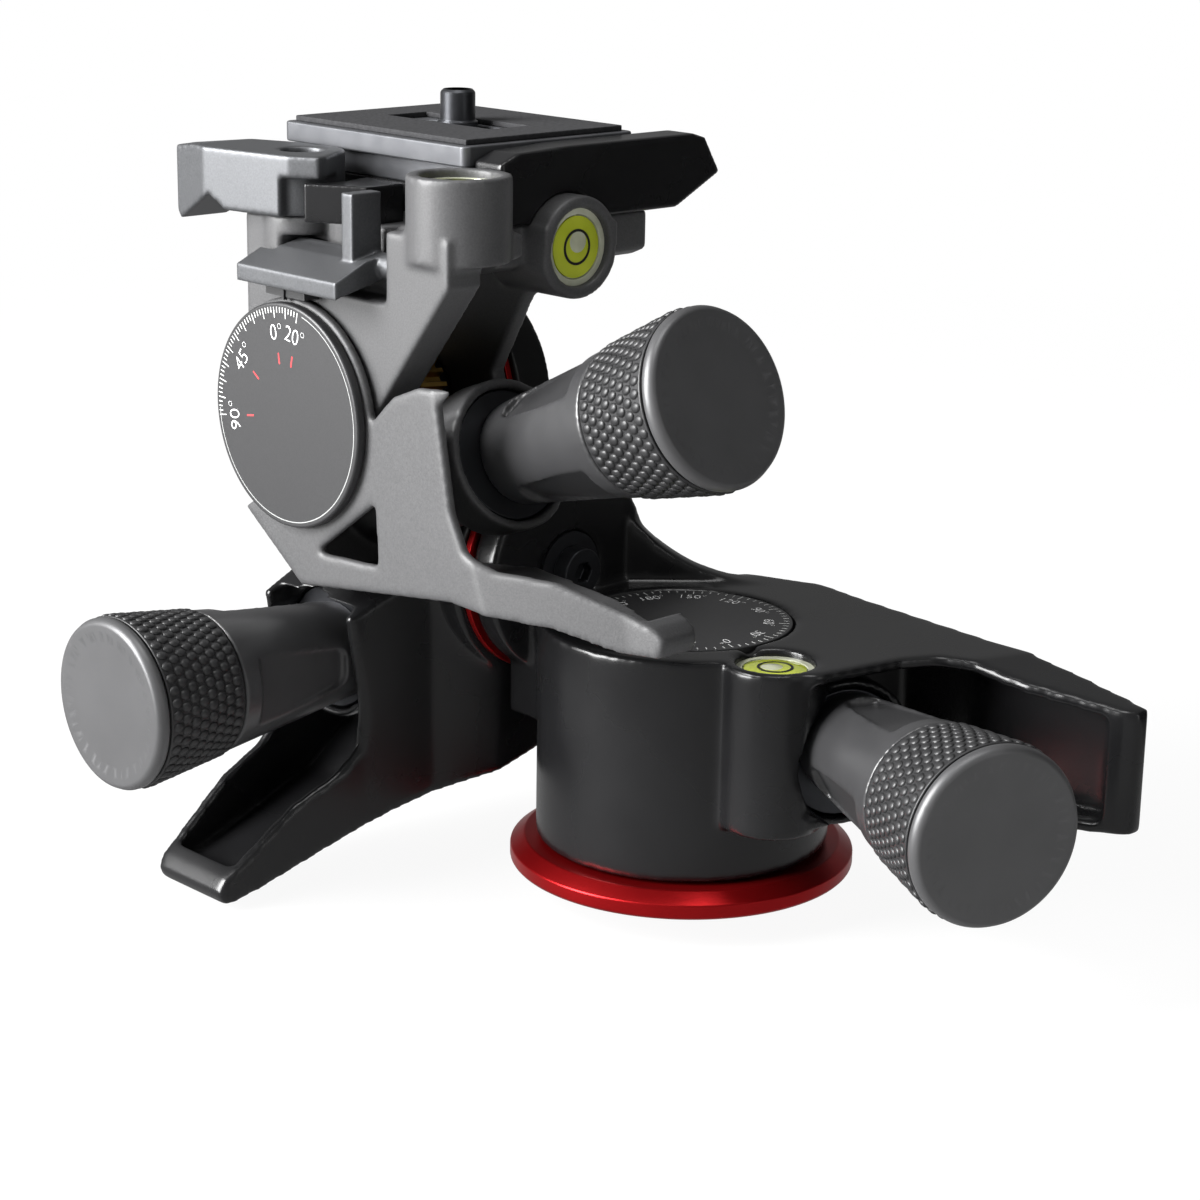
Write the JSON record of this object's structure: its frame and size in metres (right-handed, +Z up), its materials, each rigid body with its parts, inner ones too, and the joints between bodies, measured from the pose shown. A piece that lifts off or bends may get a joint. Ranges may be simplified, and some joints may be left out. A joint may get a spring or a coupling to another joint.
{
  "type": "geared tripod head",
  "caption": "Geared tripod head: stacked pan and tilt joints, each with a conical knob on a worm drive, dials, bull's-eye levels and a clamp with a sliding plate.",
  "frame": {"origin": "centre of the base's underside, on the pan axis and at the mouth of the tripod thread", "axes": "+Z up along the pan axis, +X the way the front knob points, -Y the way the lateral knob points"},
  "size_m": [0.1757, 0.1239, 0.1403],
  "materials": {
    "red_anodised": "anodised satin",
    "black_housing": "black powder coat, semi-gloss",
    "grey_housing": "fine textured dark grey powder coat",
    "grey_grip": "satin",
    "black_dial": "satin with pale ticks",
    "level_fluid": "clear",
    "silver_lever": "bead blasted",
    "rubber_pad": "matte",
    "plate_grey": "satin",
    "brass_gear": "machined",
    "steel": "machined"
  },
  "bodies": {
    "base": {"base_ring": "red_anodised", "pan_worm_wheel": "brass_gear", "pan_retaining_washer": "steel", "pan_lock_nut": "steel", "pan_dial": "black_dial"},
    "pan": {"pan_housing": "black_housing", "pan_level": "level_fluid", "lateral_axle": "steel", "lateral_axle_bolt": "steel", "lateral_friction_ring": "red_anodised", "lateral_worm_wheel": "brass_gear", "lateral_lock_nut": "steel", "lateral_dial": "black_dial"},
    "cross": {"lateral_housing": "black_housing", "front_housing": "grey_housing", "rear_cheek": "grey_housing", "front_dial": "black_dial"},
    "top": {"top_bracket": "grey_housing", "front_axle": "steel", "front_worm_wheel": "brass_gear", "front_friction_ring": "red_anodised", "top_level": "level_fluid", "side_level": "level_fluid", "plate_receiver": "grey_housing", "quick_release_plate": "plate_grey", "plate_pad": "rubber_pad", "lever_pivot_screw": "steel", "catch_pin": "steel", "lever_stop": "grey_housing"},
    "lever": {"clamp_lever": "silver_lever"},
    "catch": {"safety_catch": "silver_lever"},
    "screw": {"camera_screw": "steel"},
    "pan_release": {"pan_worm_sleeve": "steel", "pan_release_collar": "grey_grip"},
    "pan_knob": {"pan_worm_shaft": "steel", "pan_knob_grip": "grey_grip", "pan_knob_cap": "grey_grip"},
    "lateral_release": {"lateral_worm_sleeve": "steel", "lateral_release_collar": "grey_grip"},
    "lateral_knob": {"lateral_worm_shaft": "steel", "lateral_knob_grip": "grey_grip", "lateral_knob_cap": "grey_grip"},
    "front_release": {"front_worm_sleeve": "steel", "front_release_collar": "grey_grip"},
    "front_knob": {"front_worm_shaft": "steel", "front_knob_grip": "grey_grip", "front_knob_cap": "grey_grip"}
  },
  "joints": [
    {"name": "pan_turn", "type": "hinge", "parent": "base", "child": "pan", "pos_m": [0, 0, 0.03], "axis": [0, 0, 1], "continuous": true},
    {"name": "lateral_tilt", "type": "hinge", "parent": "pan", "child": "cross", "pos_m": [-0.03, -0.006, 0.0507], "axis": [1, 0, 0], "range_deg": [-90, 20]},
    {"name": "front_tilt", "type": "hinge", "parent": "cross", "child": "top", "pos_m": [-0.051, -0.0261, 0.081], "axis": [0, 1, 0], "range_deg": [-90, 20]},
    {"name": "pan_release_twist", "type": "hinge", "parent": "pan", "child": "pan_release", "pos_m": [0.03367, 0.00439, 0.0282], "axis": [-0.9367, 0.3502, 0], "range_deg": [0, 50], "stiffness_Nm_per_rad": 0.15, "springref_deg": -34.38},
    {"name": "pan_knob_turn", "type": "hinge", "parent": "pan_release", "child": "pan_knob", "pos_m": [0.04772, -0.00087, 0.0302], "axis": [0.9367, -0.3502, 0], "continuous": true},
    {"name": "lateral_release_twist", "type": "hinge", "parent": "cross", "child": "lateral_release", "pos_m": [-0.0556, -0.036, 0.0348], "axis": [0, 1, 0], "range_deg": [0, 50], "stiffness_Nm_per_rad": 0.15, "springref_deg": -34.38},
    {"name": "lateral_knob_turn", "type": "hinge", "parent": "lateral_release", "child": "lateral_knob", "pos_m": [-0.0536, -0.051, 0.0348], "axis": [0, -1, 0], "range_deg": [-600, 2700]},
    {"name": "front_release_twist", "type": "hinge", "parent": "cross", "child": "front_release", "pos_m": [-0.01734, -0.0281, 0.07655], "axis": [-0.9373, 0, -0.3486], "range_deg": [0, 50], "stiffness_Nm_per_rad": 0.15, "springref_deg": -34.38},
    {"name": "front_knob_turn", "type": "hinge", "parent": "front_release", "child": "front_knob", "pos_m": [-0.00328, -0.0261, 0.08178], "axis": [0.9373, 0, 0.3486], "range_deg": [-2700, 600]},
    {"name": "lever_swing", "type": "hinge", "parent": "top", "child": "lever", "pos_m": [-0.0595, -0.0392, 0.12], "axis": [0, 0, 1], "range_deg": [0, 60]},
    {"name": "catch_press", "type": "hinge", "parent": "top", "child": "catch", "pos_m": [-0.042, -0.042, 0.109], "axis": [1, 0, 0], "range_deg": [0, 10], "stiffness_Nm_per_rad": 0.03, "springref_deg": -17.19},
    {"name": "screw_turn", "type": "hinge", "parent": "top", "child": "screw", "pos_m": [-0.0505, -0.0105, 0.128], "axis": [0, 0, 1], "continuous": true}
  ],
  "couplings": [
    {"joint": "pan_knob_turn", "follows": "pan_turn", "ratio": -30},
    {"joint": "lateral_knob_turn", "follows": "lateral_tilt", "ratio": -30},
    {"joint": "front_knob_turn", "follows": "front_tilt", "ratio": 30}
  ]
}
